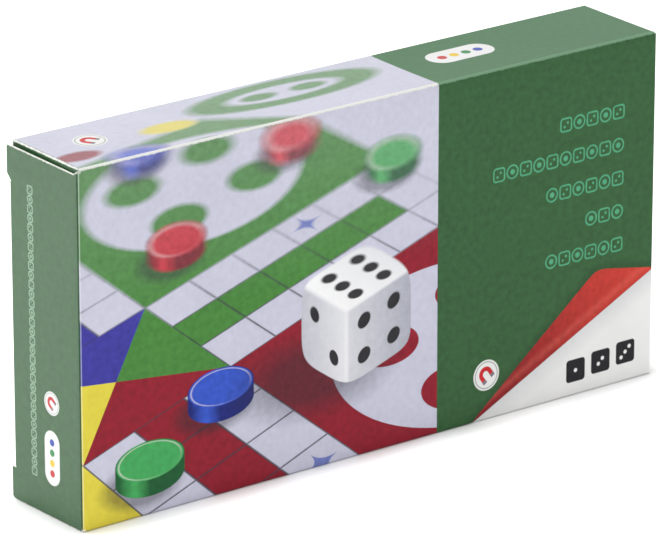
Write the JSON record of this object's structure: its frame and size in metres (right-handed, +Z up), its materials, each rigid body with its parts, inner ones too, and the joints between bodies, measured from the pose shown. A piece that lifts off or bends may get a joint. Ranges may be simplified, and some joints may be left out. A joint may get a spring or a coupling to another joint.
{
  "type": "folding board game box",
  "caption": "Printed tuck-end carton standing on its long side, with hinged end closures, dust flaps and a closed folding magnetic ludo board case inside.",
  "frame": {"origin": "centre of the long narrow face that the box stands on", "axes": "+X along the box's length, +Y from its front face to its back, +Z up"},
  "size_m": [0.2522, 0.0405, 0.13],
  "materials": {
    "printed_board": "film-laminated printed box board",
    "plain_board": "uncoated grey-white back of box board",
    "case_plastic": "fine moulded grain",
    "steel_pin": "drawn wire",
    "sheet_steel": "tinplate",
    "play_print": "printed film, satin",
    "formed_insert": "vacuum-formed sheet",
    "red_plastic": "moulded gloss",
    "yellow_plastic": "moulded gloss",
    "green_plastic": "moulded gloss",
    "blue_plastic": "moulded gloss",
    "magnet": "nickel-plated disc magnet",
    "white_plastic": "moulded gloss",
    "leaflet_paper": "uncoated printing paper"
  },
  "bodies": {
    "carton": {"front_panel": "printed_board", "back_panel": "printed_board", "top_panel": "printed_board", "bottom_panel": "printed_board", "glue_flap": "plain_board"},
    "left_closure_body": {"left_closure": "printed_board"},
    "left_tuck_body": {"left_tuck_flap": "printed_board"},
    "left_top_dust_body": {"left_top_dust_flap": "printed_board"},
    "left_bottom_dust_body": {"left_bottom_dust_flap": "printed_board"},
    "right_closure_body": {"right_closure": "printed_board"},
    "right_tuck_body": {"right_tuck_flap": "printed_board"},
    "right_top_dust_body": {"right_top_dust_flap": "printed_board"},
    "right_bottom_dust_body": {"right_bottom_dust_flap": "printed_board"},
    "contents": {"case_front_half": "case_plastic", "case_back_half": "case_plastic", "case_hinge_pin": "steel_pin", "case_latch": "case_plastic", "front_steel_plate": "sheet_steel", "back_steel_plate": "sheet_steel", "front_play_sheet": "play_print", "back_play_sheet": "play_print", "front_piece_tray": "formed_insert", "back_piece_tray": "formed_insert", "red_counters": "red_plastic", "yellow_counters": "yellow_plastic", "green_counters": "green_plastic", "blue_counters": "blue_plastic", "counter_magnets": "magnet", "die": "white_plastic", "rules_leaflet": "leaflet_paper"}
  },
  "joints": [
    {"name": "left_closure_hinge", "type": "hinge", "parent": "carton", "child": "left_closure_body", "pos_m": [-0.1247, -0.0197, 0.065], "axis": [0, 0, 1], "range_deg": [-1.5, 178.5]},
    {"name": "left_tuck_hinge", "type": "hinge", "parent": "left_closure_body", "child": "left_tuck_body", "pos_m": [-0.12571, 0.01904, 0.065], "axis": [0, 0, 1], "range_deg": [-0.3, 29.8]},
    {"name": "left_top_dust_hinge", "type": "hinge", "parent": "carton", "child": "left_top_dust_body", "pos_m": [-0.1239, 0, 0.1297], "axis": [0, 1, 0], "range_deg": [-0.8, 89.3]},
    {"name": "left_bottom_dust_hinge", "type": "hinge", "parent": "carton", "child": "left_bottom_dust_body", "pos_m": [-0.1239, 0, 0.0003], "axis": [0, -1, 0], "range_deg": [-0.8, 89.3]},
    {"name": "right_closure_hinge", "type": "hinge", "parent": "carton", "child": "right_closure_body", "pos_m": [0.1247, -0.0197, 0.065], "axis": [0, 0, -1], "range_deg": [-1.5, 178.5]},
    {"name": "right_tuck_hinge", "type": "hinge", "parent": "right_closure_body", "child": "right_tuck_body", "pos_m": [0.12571, 0.01904, 0.065], "axis": [0, 0, -1], "range_deg": [-0.3, 29.8]},
    {"name": "right_top_dust_hinge", "type": "hinge", "parent": "carton", "child": "right_top_dust_body", "pos_m": [0.1239, 0, 0.1297], "axis": [0, -1, 0], "range_deg": [-0.8, 89.3]},
    {"name": "right_bottom_dust_hinge", "type": "hinge", "parent": "carton", "child": "right_bottom_dust_body", "pos_m": [0.1239, 0, 0.0003], "axis": [0, 1, 0], "range_deg": [-0.8, 89.3]},
    {"name": "case_slide", "type": "slide", "parent": "carton", "child": "contents", "axis": [1, 0, 0], "range_m": [-0.002, 0.002]}
  ],
  "couplings": [
    {"joint": "left_tuck_hinge", "follows": "left_closure_hinge", "ratio": 0.16667},
    {"joint": "left_top_dust_hinge", "follows": "left_closure_hinge", "ratio": 0.5},
    {"joint": "left_bottom_dust_hinge", "follows": "left_closure_hinge", "ratio": 0.5},
    {"joint": "right_tuck_hinge", "follows": "right_closure_hinge", "ratio": 0.16667},
    {"joint": "right_top_dust_hinge", "follows": "right_closure_hinge", "ratio": 0.5},
    {"joint": "right_bottom_dust_hinge", "follows": "right_closure_hinge", "ratio": 0.5}
  ]
}
